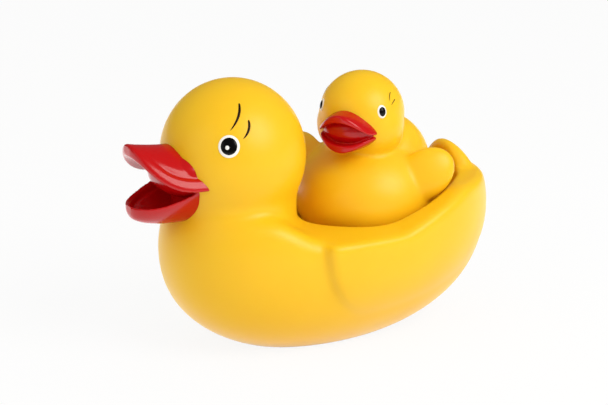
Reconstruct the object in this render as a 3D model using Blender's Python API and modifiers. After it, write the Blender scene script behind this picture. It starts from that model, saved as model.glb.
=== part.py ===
"""A bath toy in soft vinyl: a mother duck whose back is an open nest, and the duckling that sits in it.

Both birds are hollow mouldings with an air hole in a flat base. Metres, +Z up. The mother looks along -Y and
her left side is +X. The origin is on the surface that she stands on, under the middle of the toy.
"""

import math

import bmesh
import bpy
from mathutils import Matrix, Vector

# Vinyl and fits
WALL = 0.0024  # thickness of the moulded skin
SEAT_GAP = 0.0003  # between the duckling and the nest it stands in
AIR_HOLE_RADIUS = 0.0020
SEAM_WELD = 0.00002  # points closer than this along a cut are one

# Mother: body, an egg lying along Y with its top sliced off
BODY_LENGTH = 0.1380
BODY_WIDTH = 0.0840
BODY_HEIGHT = 0.0895  # of the whole egg, before the slices
BODY_SINK = 0.0054  # how much of the egg's underside the flat base takes off
BODY_TILT = 3.5  # degrees that the egg's tail end is raised
BODY_FULLNESS = 2.2  # 2 for a plain egg, and more for a squarer one
BREAST_DECK_HEIGHT = 0.0568  # where the slice leaves the breast and shoulders
NOTCH_HEIGHT = 0.0471  # the rim's dip between shoulder and wing
NOTCH_SLOPE = 0.0150  # length of the run down into the notch
NOTCH_FROM_NECK = 0.0180  # from the head's centre back to the notch
WING_DECK_HEIGHT = 0.0586  # the rim at the wing's rounded end
WING_END_FORWARD = 0.0265  # from the egg's rear end to the top of the rim's rise
TAIL_HEIGHT = 0.0752  # top of the tail above the base
TAIL_WIDTH = 0.0420
TAIL_FORWARD = 0.0235  # from the egg's rear end to the tail's inner side

# Mother: head and neck
HEAD_RADIUS = 0.0281
HEAD_TALLNESS = 1.045  # how much taller the head is than wide
HEAD_FORWARD = 0.0400  # head's centre in front of the body's centre
HEAD_HEIGHT = 0.0752  # head's centre above the base
NECK_RADIUS = 0.0243

# Mother: wings, raised from the flanks
WING_RELIEF = 0.0036
WING_LIFT = 0.0050  # how far the wing's egg stands above the body's, so that it fades out below
WING_LENGTH = 0.1080  # of the ellipse that bounds the wing in side view
WING_DEPTH = 0.0840
WING_DROP = 0.0035  # its middle below the notch

# Nest
NEST_LENGTH = 0.0740
NEST_WIDTH = 0.0635
NEST_MOUTH_HEIGHT = 0.0546  # where the bowl is widest
NEST_FLOOR_HEIGHT = 0.0306
NEST_FLOOR_RADIUS = 0.0190
NEST_CENTRE_BACK = 0.0200  # nest's centre behind the body's centre

# Mother: bill, whose places are given from the head's centre
BILL_WIDTH = 0.0370
UPPER_BILL_REACH = 0.0162  # tip in front of the head
UPPER_BILL_RISE = 0.0098  # top of the tip
UPPER_BILL_CROWN = 0.0070  # top of the root
UPPER_BILL_LIP = 0.0050
LOWER_BILL_WIDTH = 0.0300
LOWER_BILL_REACH = 0.0160
LOWER_BILL_DROP = 0.0126  # its rim below the head's centre
LOWER_BILL_DEPTH = 0.0050
LOWER_BILL_LIP = 0.0048
MOUTH_CORNER_DROP = 0.0068
BILL_ROOT_SINK = 0.32  # share of the head's radius that the bill's root is sunk
BILL_CORNER_CURVE = 3.2  # how late the upper bill's edge rises towards its tip
LOWER_RIM_CURVE = 1.4  # how soon the lower bill's rim falls from the corners
THROAT_WIDTH_SHARE = 0.52  # of the lower bill
THROAT_DEPTH_SHARE = 0.60  # of the head's radius
THROAT_FULLNESS = 3.0
THROAT_COVER = 0.0012  # how far the mouth's inside stays under the top of the bill

# Blades of both birds' bills
BLADE_TIP_SHARE = 0.992  # how nearly the outline closes at the tip
BLADE_ROUNDNESS = 2.3  # 2 for an elliptical outline
LIP_SQUARENESS = 0.6  # 1 for an elliptical lip, and less for a squarer one
LIP_AT_TIP = 0.45  # share of the lip's thickness that is left at the tip

# Mother: eyes
EYE_WIDTH = 0.0080
EYE_HEIGHT = 0.0085
EYE_ANGLE = 59.0  # degrees round from straight ahead
EYE_ELEVATION = 21.0
EYE_RELIEF = 0.0007
PUPIL_RELIEF = 0.0003  # of the pupil above the white
PUPIL_SHARE = 0.80

# Duckling, whose heights are given from its own flat base
CHICK_BODY_LENGTH = 0.0600
CHICK_BODY_WIDTH = 0.0570
CHICK_BODY_HEIGHT = 0.0470
CHICK_BODY_SINK = 0.0030
CHICK_BACK_WIDTH = 0.0440
CHICK_BACK_LENGTH = 0.0400
CHICK_BACK_HEIGHT = 0.0520  # top of the hump behind the head
CHICK_BACK_BEHIND = 0.0076  # middle of the hump behind the bird's middle
CHICK_BACK_SHARE = 0.65  # half of the hump's height, as a share of its rise above the body's middle
CHICK_HEAD_RADIUS = 0.0166
CHICK_HEAD_FORWARD = 0.0056
CHICK_HEAD_HEIGHT = 0.0540
CHICK_CHEEK_RADIUS = 0.0132
CHICK_CHEEK_SPREAD = 0.0042
CHICK_CHEEK_AHEAD = 0.0015
CHICK_WING_LENGTH = 0.0265
CHICK_WING_WIDTH = 0.0195
CHICK_WING_THICKNESS = 0.0096
CHICK_WING_OUT = 0.0256  # centre of the wing from the bird's middle
CHICK_WING_HEIGHT = 0.0312
CHICK_WING_AHEAD = 0.0036  # centre of the wing in front of the bird's middle
CHICK_WING_RAISE = 35.0  # degrees
CHICK_WING_SWEEP = 35.0
CHICK_TAIL_LENGTH = 0.0240
CHICK_TAIL_WIDTH = 0.0190
CHICK_TAIL_THICKNESS = 0.0090
CHICK_TAIL_ROOT = 0.0120  # the tail's middle lies half of this inside the body's rear end
CHICK_TAIL_LIFT = 0.62  # share of the body's half-height
CHICK_TAIL_RAISE = 35.0
CHICK_BILL_WIDTH = 0.0235
CHICK_UPPER_BILL_REACH = 0.0062
CHICK_LOWER_BILL_REACH = 0.0050
CHICK_LIP = 0.0030
CHICK_MOUTH_DROP = 0.0050  # corners of the mouth below the head's centre
CHICK_MOUTH_SINK = 0.34  # share of the head's radius that the lips' root is sunk
CHICK_UPPER_CROWN = 0.0082  # middle of the upper lip above the corners
CHICK_UPPER_TIP = 0.0072
CHICK_UPPER_EDGE = 0.0070
CHICK_LOWER_CROWN = 0.0058  # middle of the lower lip below the corners
CHICK_LOWER_TIP = 0.0048
CHICK_LIP_START = 0.0006  # how far each lip's root lies from the corners' height
CHICK_THROAT_AHEAD = 0.0042  # front of the mouth's inside, in front of the head
CHICK_THROAT_HEIGHT = 0.0132
CHICK_THROAT_LIFT = 0.0011
CHICK_EYE_WIDTH = 0.0040
CHICK_EYE_HEIGHT = 0.0052
CHICK_EYE_ANGLE = 52.0
CHICK_EYE_ELEVATION = 13.5
CHICK_TURN = 35.0  # degrees that the duckling is turned towards the mother's left side

# How finely the soft forms are worked
BODY_VOXEL = 0.0016
SHOULDER_FLOW = 0.0062  # how far the rounding of the breast, the rim's outside and the tail spreads
BODY_FLOW = 0.0040  # how far the fillets at the neck and the wings spread
WING_FLOW = 0.0026  # how far the rounding of the wings' own edges spreads
EDGE_FLOW = 0.0015  # how far the rounding of the rim and of the wings' foot spreads
CHICK_VOXEL = 0.0011
BILL_VOXEL = 0.0008
BILL_FLOW = 0.0008
BILL_TRIANGLES = 1300
CHICK_BILL_VOXEL = 0.0006
CHICK_BILL_TRIANGLES = 800
CHICK_FLOW = 0.0020
MOTHER_TRIANGLES = 4400
CHICK_TRIANGLES = 2400
CAVITY_VOXEL = 0.0024
CAVITY_TRIANGLES = 900

YELLOW = (0.93, 0.60, 0.045, 1.0)
RED = (0.60, 0.008, 0.012, 1.0)
WHITE = (0.85, 0.85, 0.82, 1.0)
BLACK = (0.01, 0.01, 0.01, 1.0)
BODY_CENTRE = Vector((0, 0, BODY_HEIGHT / 2 - BODY_SINK))
HEAD_CENTRE = Vector((0, -HEAD_FORWARD, HEAD_HEIGHT))
NEST_CENTRE = Vector((0, NEST_CENTRE_BACK, NEST_MOUTH_HEIGHT))
TILT = Matrix.Rotation(math.radians(BODY_TILT), 3, "X")
FAR = 0.3  # past everything, for cutters


def clear_scene():
    for item in list(bpy.data.objects):
        bpy.data.objects.remove(item, do_unlink=True)


def make_material(name, colour, roughness):
    paint = bpy.data.materials.new(name)
    paint.use_nodes = True
    shader = paint.node_tree.nodes["Principled BSDF"]
    shader.inputs["Base Color"].default_value = colour
    shader.inputs["Roughness"].default_value = roughness
    paint.diffuse_color = colour
    return paint


def add_object(name, shape, paint):
    """Put a bmesh into the scene as an object."""
    mesh = bpy.data.meshes.new(name)
    shape.to_mesh(mesh)
    shape.free()
    mesh.materials.append(paint)
    item = bpy.data.objects.new(name, mesh)
    bpy.context.scene.collection.objects.link(item)
    return item


def egg(name, semi_axes, centre, paint, turn=None, segments=56, fullness=2.0):
    """A ball swelled towards a cube by its fullness, stretched to its half-lengths, turned, placed."""
    shape = bmesh.new()
    place = Matrix.Translation(centre)
    if turn is not None:
        place = place @ turn.to_4x4()
    stretch = Matrix.Diagonal((*semi_axes, 1.0))
    bmesh.ops.create_uvsphere(shape, u_segments=segments, v_segments=segments // 2, radius=1.0)
    for vert in shape.verts:
        vert.co *= sum(abs(part) ** fullness for part in vert.co) ** (-1 / fullness)
    shape.transform(place @ stretch)
    return add_object(name, shape, paint)


def side_slab(name, outline, half_width, paint):
    """A side-view outline of (y, z) points made as wide as asked along X."""
    shape = bmesh.new()
    corners = [shape.verts.new((-half_width, y, z)) for y, z in outline]
    face = shape.faces.new(corners)
    grown = bmesh.ops.extrude_face_region(shape, geom=[face])
    moved = [part for part in grown["geom"] if isinstance(part, bmesh.types.BMVert)]
    bmesh.ops.translate(shape, verts=moved, vec=(2 * half_width, 0, 0))
    bmesh.ops.recalc_face_normals(shape, faces=shape.faces)
    return add_object(name, shape, paint)


def rod(name, radius, low, high, place, paint, segments=20):
    shape = bmesh.new()
    bmesh.ops.create_cone(shape, cap_ends=True, segments=segments, radius1=radius, radius2=radius,
                          depth=high - low,
                          matrix=Matrix.Translation((place[0], place[1], (low + high) / 2)))
    return add_object(name, shape, paint)


def bake(item):
    """Keep what the modifiers make as the object's own mesh."""
    graph = bpy.context.evaluated_depsgraph_get()
    mesh = bpy.data.meshes.new_from_object(item.evaluated_get(graph), depsgraph=graph)
    item.modifiers.clear()
    item.data = mesh


def combine(item, tool, operation):
    """Unite, cut or intersect an object with a tool, which is then gone."""
    step = item.modifiers.new("combine", "BOOLEAN")
    step.operation = operation
    step.solver = "EXACT"
    step.object = tool
    step.material_mode = "TRANSFER"
    weld = item.modifiers.new("weld", "WELD")
    weld.merge_threshold = SEAM_WELD
    bake(item)
    bpy.data.objects.remove(tool, do_unlink=True)


def soften(item, voxel, flow):
    """Remake the surface evenly and let its creases flow into fillets."""
    grid = item.modifiers.new("grid", "REMESH")
    grid.mode = "VOXEL"
    grid.voxel_size = voxel
    easing = item.modifiers.new("easing", "SMOOTH")
    easing.factor = 0.5
    easing.iterations = max(1, round(4 * (flow / voxel) ** 2))
    bake(item)


def thin_out(item, triangles):
    step = item.modifiers.new("thin", "DECIMATE")
    faces = sum(len(face.vertices) - 2 for face in item.data.polygons)
    step.ratio = min(1.0, triangles / faces)
    bake(item)


def keep_largest(item):
    """Drop the crumbs that a remade cavity can leave in thin corners."""
    shape = bmesh.new()
    shape.from_mesh(item.data)
    groups, seen = [], set()
    for start in shape.verts:
        if start in seen:
            continue
        group, edge = [], [start]
        seen.add(start)
        while edge:
            vert = edge.pop()
            group.append(vert)
            near = [link.other_vert(vert) for link in vert.link_edges]
            fresh = [other for other in near if other not in seen]
            seen.update(fresh)
            edge.extend(fresh)
        groups.append(group)
    groups.sort(key=len)
    crumbs = [vert for group in groups[:-1] for vert in group]
    bmesh.ops.delete(shape, geom=crumbs, context="VERTS")
    shape.to_mesh(item.data)
    shape.free()


def deck_outline(drop=0.0):
    """Side view of what the slice takes off the body's top, front to back."""
    notch = -HEAD_FORWARD + NOTCH_FROM_NECK
    wing_end = BODY_LENGTH / 2 - WING_END_FORWARD
    line = [
        (-FAR, BREAST_DECK_HEIGHT),
        (notch - NOTCH_SLOPE, BREAST_DECK_HEIGHT),
        (notch, NOTCH_HEIGHT),
        ((notch + wing_end) / 2, NOTCH_HEIGHT),
        (wing_end, WING_DECK_HEIGHT),
        (FAR, WING_DECK_HEIGHT),
    ]
    line = [(y, z - drop) for y, z in line]
    return line + [(FAR, FAR), (-FAR, FAR)]


def wing_outline(points=40):
    notch = -HEAD_FORWARD + NOTCH_FROM_NECK
    middle = notch + WING_LENGTH / 2
    middle_height = NOTCH_HEIGHT - WING_DROP
    turns = [math.tau * i / points for i in range(points)]
    return [(middle + WING_LENGTH / 2 * math.cos(a), middle_height + WING_DEPTH / 2 * math.sin(a))
            for a in turns]


def nest_bowl(name, grow, floor, paint):
    """The bowl of the nest, grown by a margin and cut off flat at its floor."""
    depth = NEST_MOUTH_HEIGHT - NEST_FLOOR_HEIGHT
    round_depth = depth / math.sqrt(1 - (NEST_FLOOR_RADIUS / (NEST_WIDTH / 2)) ** 2)
    semi_axes = (NEST_WIDTH / 2 + grow, NEST_LENGTH / 2 + grow, round_depth + grow)
    bowl = egg(name, semi_axes, NEST_CENTRE, paint)
    box = side_slab("under", [(-FAR, -FAR), (FAR, -FAR), (FAR, floor), (-FAR, floor)], FAR, paint)
    combine(bowl, box, "DIFFERENCE")
    return bowl


def cut_base(item, paint):
    below = side_slab("below", [(-FAR, -FAR), (FAR, -FAR), (FAR, 0.0), (-FAR, 0.0)], FAR, paint)
    combine(item, below, "DIFFERENCE")


def hull(name, grow, lift, vinyl):
    """The body's egg before the slice, widened by a relief and lifted."""
    semi_axes = Vector((BODY_WIDTH, BODY_LENGTH, BODY_HEIGHT)) / 2 + grow
    return egg(name, semi_axes, BODY_CENTRE + Vector((0, 0, lift)), vinyl, TILT, 72, BODY_FULLNESS)


def tail_lobe(vinyl):
    """The tail: what an upright lobe keeps of the hull's rear."""
    tail = hull("tail", Vector(), 0.0, vinyl)
    low = WING_DECK_HEIGHT - TAIL_WIDTH / 2
    semi_axes = (TAIL_WIDTH / 2, TAIL_FORWARD, TAIL_HEIGHT - low)
    lobe = egg("lobe", semi_axes, Vector((0, BODY_LENGTH / 2, low)), vinyl)
    combine(tail, lobe, "INTERSECT")
    return tail


def wings(vinyl):
    """Both wings as one wider hull, kept inside the wings' side outline and under the rim."""
    raised = hull("wings", Vector((WING_RELIEF, 0, 0)), WING_LIFT, vinyl)
    combine(raised, side_slab("wing_side", wing_outline(), FAR, vinyl), "INTERSECT")
    combine(raised, side_slab("deck", deck_outline(), FAR, vinyl), "DIFFERENCE")
    soften(raised, BODY_VOXEL, WING_FLOW)
    return raised


def neck(name, radius, vinyl):
    foot = BREAST_DECK_HEIGHT - NECK_RADIUS
    height = HEAD_HEIGHT - foot
    return egg(name, (radius, radius, height), Vector((0, -HEAD_FORWARD, foot + height / 2)), vinyl)


def head_ball(name, radius, vinyl):
    return egg(name, (radius, radius, radius * HEAD_TALLNESS), HEAD_CENTRE, vinyl)


def mother_form(vinyl):
    """Body, tail, head and neck flowed together, then the wings laid on and the nest pressed in."""
    body = hull("mother_duck", Vector(), 0.0, vinyl)
    combine(body, side_slab("deck", deck_outline(), FAR, vinyl), "DIFFERENCE")
    soften(body, BODY_VOXEL, SHOULDER_FLOW)
    combine(body, tail_lobe(vinyl), "UNION")
    combine(body, neck("neck", NECK_RADIUS, vinyl), "UNION")
    combine(body, head_ball("head", HEAD_RADIUS, vinyl), "UNION")
    soften(body, BODY_VOXEL, BODY_FLOW)
    combine(body, wings(vinyl), "UNION")
    combine(body, nest_bowl("nest", 0.0, NEST_FLOOR_HEIGHT, vinyl), "DIFFERENCE")
    soften(body, BODY_VOXEL, EDGE_FLOW)
    thin_out(body, MOTHER_TRIANGLES)
    cut_base(body, vinyl)
    return body


def mother_cavity(vinyl):
    """The hollow inside the skin, which follows the body, the head and the nest."""
    hollow = hull("hollow", Vector((-WALL, -WALL, -WALL)), 0.0, vinyl)
    combine(hollow, side_slab("deck", deck_outline(WALL + SHOULDER_FLOW / 2), FAR, vinyl), "DIFFERENCE")
    combine(hollow, neck("neck", NECK_RADIUS - WALL, vinyl), "UNION")
    combine(hollow, head_ball("head", HEAD_RADIUS - WALL, vinyl), "UNION")
    combine(hollow, nest_bowl("nest", WALL, NEST_FLOOR_HEIGHT - WALL, vinyl), "DIFFERENCE")
    box = side_slab("under", [(-FAR, -FAR), (FAR, -FAR), (FAR, WALL), (-FAR, WALL)], FAR, vinyl)
    combine(hollow, box, "DIFFERENCE")
    soften(hollow, CAVITY_VOXEL, CAVITY_VOXEL / 2)
    keep_largest(hollow)
    thin_out(hollow, CAVITY_TRIANGLES)
    return hollow


def bill(name, root, length, half_width, middle_line, edge_line, lip, fullness, paint, stations=12,
         around=24):
    """A dished blade that runs forward from the root to a round tip.

    middle_line and edge_line give the heights of its centre line and of its edges from 0 at the root to 1 at
    the tip. Its rim has the lip's thickness. Fullness is 2 for an arch and more for a squarer one.
    """
    shape = bmesh.new()
    rings = []
    for i in range(stations + 1):
        along = math.sin(math.pi / 2 * i / stations)
        width = half_width * math.sqrt(1 - (BLADE_TIP_SHARE * along) ** BLADE_ROUNDNESS)
        middle, edge = middle_line(along), edge_line(along)
        ring = []
        for j in range(around):
            angle = math.tau * j / around
            across = math.cos(angle)
            swell = math.copysign(abs(math.sin(angle)) ** LIP_SQUARENESS, math.sin(angle))
            height = edge + (middle - edge) * (1 - abs(across) ** fullness)
            height += lip / 2 * swell * min(1.0, LIP_AT_TIP + width / lip / 2)
            ring.append(shape.verts.new((root.x + width * across, root.y - length * along, root.z + height)))
        rings.append(ring)
    for first, second in zip(rings, rings[1:]):
        for j in range(around):
            k = (j + 1) % around
            shape.faces.new((first[j], first[k], second[k], second[j]))
    shape.faces.new(rings[0])
    shape.faces.new(rings[-1])
    bmesh.ops.recalc_face_normals(shape, faces=shape.faces)
    return add_object(name, shape, paint)


def mother_bill(red):
    """Upper and lower bill, open wide, and the red back of the mouth between them."""
    sink = HEAD_RADIUS * BILL_ROOT_SINK
    root = HEAD_CENTRE + Vector((0, -(HEAD_RADIUS - sink), 0))
    half_lip = UPPER_BILL_LIP / 2
    corner = -MOUTH_CORNER_DROP
    upper = bill(
        "upper_bill", root, UPPER_BILL_REACH + sink, BILL_WIDTH / 2,
        lambda t: UPPER_BILL_CROWN + (UPPER_BILL_RISE - UPPER_BILL_CROWN) * t ** 2 - half_lip,
        lambda t: corner + (UPPER_BILL_RISE - half_lip - corner) * t ** BILL_CORNER_CURVE,
        UPPER_BILL_LIP, 2.0, red)
    rim = -LOWER_BILL_DROP - LOWER_BILL_LIP / 2
    lower = bill(
        "lower_bill", root, LOWER_BILL_REACH + sink, LOWER_BILL_WIDTH / 2,
        lambda t: rim - LOWER_BILL_DEPTH * math.sqrt(max(0.0, 1 - t ** 3)),
        lambda t: rim + (corner - rim) * (1 - t) ** LOWER_RIM_CURVE,
        LOWER_BILL_LIP, 2.8, red)
    top, bottom = UPPER_BILL_CROWN - THROAT_COVER, -LOWER_BILL_DROP
    semi_axes = (LOWER_BILL_WIDTH * THROAT_WIDTH_SHARE, HEAD_RADIUS * THROAT_DEPTH_SHARE, (top - bottom) / 2)
    middle = root + Vector((0, 0, (top + bottom) / 2))
    throat = egg("throat", semi_axes, middle, red, segments=28, fullness=THROAT_FULLNESS)
    combine(lower, throat, "UNION")
    combine(upper, lower, "UNION")
    soften(upper, BILL_VOXEL, BILL_FLOW)
    thin_out(upper, BILL_TRIANGLES)
    return upper


def eye_place(centre, semi_axes, angle, elevation, side):
    """Where an eye sits on an egg-shaped head, and the turn that lays a disc on it there."""
    around, up = math.radians(angle), math.radians(elevation)
    out = Vector((side * math.sin(around) * math.cos(up), -math.cos(around) * math.cos(up), math.sin(up)))
    spot = out / math.sqrt(sum((part / half) ** 2 for part, half in zip(out, semi_axes)))
    normal = Vector([part / half ** 2 for part, half in zip(spot, semi_axes)])
    return centre + spot, normal.to_track_quat("Z", "Y").to_matrix()


def add_eyes(item, centre, semi_axes, angle, elevation, width, height, white, black):
    """A low white boss with a black pupil on it at each side of the head."""
    for side in (-1, 1):
        place, turn = eye_place(centre, semi_axes, angle, elevation, side)
        boss = Vector((width / 2, height / 2, EYE_RELIEF))
        combine(item, egg("eye", boss, place, white, turn, segments=20), "UNION")
        pupil = Vector((boss.x * PUPIL_SHARE, boss.y * PUPIL_SHARE, EYE_RELIEF + PUPIL_RELIEF))
        combine(item, egg("pupil", pupil, place, black, turn, segments=16), "UNION")


def build_mother(vinyl, red, white, black):
    mother = mother_form(vinyl)
    combine(mother, mother_bill(red), "UNION")
    head_axes = (HEAD_RADIUS, HEAD_RADIUS, HEAD_RADIUS * HEAD_TALLNESS)
    add_eyes(mother, HEAD_CENTRE, head_axes, EYE_ANGLE, EYE_ELEVATION, EYE_WIDTH, EYE_HEIGHT, white, black)
    combine(mother, mother_cavity(vinyl), "DIFFERENCE")
    hole = rod("air_hole", AIR_HOLE_RADIUS, -WALL, 4 * WALL, (0, 0), vinyl)
    combine(mother, hole, "DIFFERENCE")
    return mother


def chick_wing(side, vinyl):
    """A small paddle held out from the flank, swept back and raised, with its broad side to the front."""
    raised, swept = math.radians(CHICK_WING_RAISE), math.radians(CHICK_WING_SWEEP)
    length_way = Vector((side * math.cos(swept) * math.cos(raised), math.sin(swept) * math.cos(raised),
                         math.sin(raised)))
    ahead = Vector((0, -1, 0))
    flat_way = (ahead - ahead.dot(length_way) * length_way).normalized()
    width_way = length_way.cross(flat_way)
    turn = Matrix((width_way, length_way, flat_way)).transposed()
    semi_axes = Vector((CHICK_WING_WIDTH, CHICK_WING_LENGTH, CHICK_WING_THICKNESS)) / 2
    centre = Vector((side * CHICK_WING_OUT, -CHICK_WING_AHEAD, CHICK_WING_HEIGHT))
    return egg("wing", semi_axes, centre, vinyl, turn)


def chick_back(body_middle, vinyl):
    """The hump that the duckling's back makes behind its head."""
    rise = CHICK_BACK_HEIGHT - body_middle
    semi_axes = (CHICK_BACK_WIDTH / 2, CHICK_BACK_LENGTH / 2, rise * CHICK_BACK_SHARE)
    centre = Vector((0, CHICK_BACK_BEHIND, CHICK_BACK_HEIGHT - semi_axes[2]))
    return egg("back", semi_axes, centre, vinyl)


def chick_tail(height, vinyl):
    semi_axes = (CHICK_TAIL_WIDTH / 2, CHICK_TAIL_LENGTH / 2, CHICK_TAIL_THICKNESS / 2)
    centre = Vector((0, (CHICK_BODY_LENGTH - CHICK_TAIL_ROOT) / 2, height))
    turn = Matrix.Rotation(math.radians(CHICK_TAIL_RAISE), 3, "X")
    return egg("tail", semi_axes, centre, vinyl, turn)


def chick_form(vinyl):
    """The duckling's body, hunched back, head, cheeks, wings and tail flowed together."""
    semi_axes = Vector((CHICK_BODY_WIDTH, CHICK_BODY_LENGTH, CHICK_BODY_HEIGHT)) / 2
    middle = Vector((0, 0, semi_axes.z - CHICK_BODY_SINK))
    body = egg("duckling", semi_axes, middle, vinyl)
    combine(body, chick_back(middle.z, vinyl), "UNION")
    combine(body, chick_tail(middle.z + semi_axes.z * CHICK_TAIL_LIFT, vinyl), "UNION")
    head = Vector((0, -CHICK_HEAD_FORWARD, CHICK_HEAD_HEIGHT))
    combine(body, egg("head", (CHICK_HEAD_RADIUS,) * 3, head, vinyl), "UNION")
    for side in (-1, 1):
        cheek = head + Vector((side * CHICK_CHEEK_SPREAD, -CHICK_CHEEK_AHEAD, -CHICK_CHEEK_SPREAD))
        combine(body, egg("cheek", (CHICK_CHEEK_RADIUS,) * 3, cheek, vinyl), "UNION")
        combine(body, chick_wing(side, vinyl), "UNION")
    soften(body, CHICK_VOXEL, CHICK_FLOW)
    thin_out(body, CHICK_TRIANGLES)
    cut_base(body, vinyl)
    return body


def chick_cavity(vinyl):
    """The hollow in the duckling: body and head, joined through the neck."""
    inset = Vector((WALL, WALL, WALL))
    semi_axes = Vector((CHICK_BODY_WIDTH, CHICK_BODY_LENGTH, CHICK_BODY_HEIGHT)) / 2
    middle = Vector((0, 0, semi_axes.z - CHICK_BODY_SINK))
    hollow = egg("hollow", semi_axes - inset, middle, vinyl)
    head = Vector((0, -CHICK_HEAD_FORWARD, CHICK_HEAD_HEIGHT))
    combine(hollow, egg("head", (CHICK_HEAD_RADIUS - WALL,) * 3, head, vinyl), "UNION")
    neck = (CHICK_CHEEK_RADIUS - WALL, CHICK_CHEEK_RADIUS - WALL, (head.z - middle.z) / 2 + WALL)
    combine(hollow, egg("neck", neck, (head + middle) / 2, vinyl), "UNION")
    box = side_slab("under", [(-FAR, -FAR), (FAR, -FAR), (FAR, WALL), (-FAR, WALL)], FAR, vinyl)
    combine(hollow, box, "DIFFERENCE")
    soften(hollow, CAVITY_VOXEL / 1.5, CAVITY_VOXEL / 3)
    keep_largest(hollow)
    thin_out(hollow, CAVITY_TRIANGLES)
    return hollow


def chick_bill(red):
    """Two full lips with a shallow mouth between them."""
    head = Vector((0, -CHICK_HEAD_FORWARD, CHICK_HEAD_HEIGHT))
    sink = CHICK_HEAD_RADIUS * CHICK_MOUTH_SINK
    root = head + Vector((0, -(CHICK_HEAD_RADIUS - sink), -CHICK_MOUTH_DROP))
    half_width = CHICK_BILL_WIDTH / 2
    upper = bill(
        "upper_bill", root, CHICK_UPPER_BILL_REACH + sink, half_width,
        lambda t: CHICK_UPPER_CROWN + (CHICK_UPPER_TIP - CHICK_UPPER_CROWN) * t,
        lambda t: CHICK_LIP_START + (CHICK_UPPER_EDGE - CHICK_LIP_START) * t ** 3,
        CHICK_LIP, 2.0, red, 8, 20)
    lower = bill(
        "lower_bill", root, CHICK_LOWER_BILL_REACH + sink, half_width,
        lambda t: (CHICK_LOWER_CROWN - CHICK_LOWER_TIP) * t - CHICK_LOWER_CROWN,
        lambda t: (CHICK_LIP_START - CHICK_LOWER_TIP) * t ** 3 - CHICK_LIP_START,
        CHICK_LIP, 2.0, red, 8, 20)
    semi_axes = (half_width - CHICK_LIP / 4, sink + CHICK_THROAT_AHEAD, CHICK_THROAT_HEIGHT / 2)
    throat = egg("throat", semi_axes, root + Vector((0, 0, CHICK_THROAT_LIFT)), red, segments=28)
    combine(lower, throat, "UNION")
    combine(upper, lower, "UNION")
    soften(upper, CHICK_BILL_VOXEL, BILL_FLOW / 2)
    thin_out(upper, CHICK_BILL_TRIANGLES)
    return upper


def build_chick(vinyl, red, white, black):
    chick = chick_form(vinyl)
    combine(chick, chick_bill(red), "UNION")
    head = Vector((0, -CHICK_HEAD_FORWARD, CHICK_HEAD_HEIGHT))
    add_eyes(chick, head, (CHICK_HEAD_RADIUS,) * 3, CHICK_EYE_ANGLE, CHICK_EYE_ELEVATION, CHICK_EYE_WIDTH,
             CHICK_EYE_HEIGHT, white, black)
    combine(chick, chick_cavity(vinyl), "DIFFERENCE")
    hole = rod("air_hole", AIR_HOLE_RADIUS, -WALL, 4 * WALL, (0, 0), vinyl)
    combine(chick, hole, "DIFFERENCE")
    seat = Vector((0, NEST_CENTRE_BACK, NEST_FLOOR_HEIGHT + SEAT_GAP))
    chick.data.transform(Matrix.Translation(seat) @ Matrix.Rotation(math.radians(CHICK_TURN), 4, "Z"))
    return chick


def stand_on_origin(items):
    """Move the whole toy so that the origin is under the middle of its box."""
    corners = [vert.co for item in items for vert in item.data.vertices]
    low = Vector([min(co[i] for co in corners) for i in range(3)])
    high = Vector([max(co[i] for co in corners) for i in range(3)])
    shift = Matrix.Translation((-(low.x + high.x) / 2, -(low.y + high.y) / 2, -low.z))
    for item in items:
        item.data.transform(shift)


def finish(item, collection):
    item.data.shade_smooth()
    item.data.set_sharp_from_angle(angle=math.radians(40))
    for old in list(item.users_collection):
        old.objects.unlink(item)
    collection.objects.link(item)


def main():
    clear_scene()
    toy = bpy.data.collections.new("duck_and_duckling")
    bpy.context.scene.collection.children.link(toy)
    vinyl = make_material("yellow_vinyl", YELLOW, 0.42)
    red = make_material("red_paint", RED, 0.22)
    white = make_material("white_paint", WHITE, 0.3)
    black = make_material("black_paint", BLACK, 0.25)
    mother = build_mother(vinyl, red, white, black)
    chick = build_chick(vinyl, red, white, black)
    stand_on_origin([mother, chick])
    for item in (mother, chick):
        finish(item, toy)


main()
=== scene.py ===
import math

import bmesh
import bpy
from mathutils import Matrix, Vector


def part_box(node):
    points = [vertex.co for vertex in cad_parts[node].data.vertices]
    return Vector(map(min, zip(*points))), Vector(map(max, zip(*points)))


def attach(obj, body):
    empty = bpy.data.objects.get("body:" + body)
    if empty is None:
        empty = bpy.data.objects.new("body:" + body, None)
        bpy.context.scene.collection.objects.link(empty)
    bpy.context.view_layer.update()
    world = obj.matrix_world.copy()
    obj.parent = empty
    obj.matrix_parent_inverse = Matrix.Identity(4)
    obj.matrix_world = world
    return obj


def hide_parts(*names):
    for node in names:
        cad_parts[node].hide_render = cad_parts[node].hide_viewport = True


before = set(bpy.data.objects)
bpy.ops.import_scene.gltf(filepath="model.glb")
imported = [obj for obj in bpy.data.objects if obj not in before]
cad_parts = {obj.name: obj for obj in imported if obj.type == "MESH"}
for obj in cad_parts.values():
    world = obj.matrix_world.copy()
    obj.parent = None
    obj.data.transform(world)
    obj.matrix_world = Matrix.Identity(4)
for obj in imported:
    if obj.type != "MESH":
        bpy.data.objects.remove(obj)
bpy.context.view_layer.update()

# Both birds are rebuilt here from the sizes of the CAD model, finer and with the paint on them.
# Metres, +Z up. The mother looks along -Y. Shapes are made round the middle of her body,
# then moved into the frame.
farAway = 0.3
mm = 0.001


def linearColour(hexText):
    # sRGB hex text to the linear colour that shaders take.
    parts = [int(hexText[i:i + 2], 16) / 255 for i in (1, 3, 5)]
    return [part / 12.92 if part <= 0.04045 else ((part + 0.055) / 1.055) ** 2.4 for part in parts] + [1.0]


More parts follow.
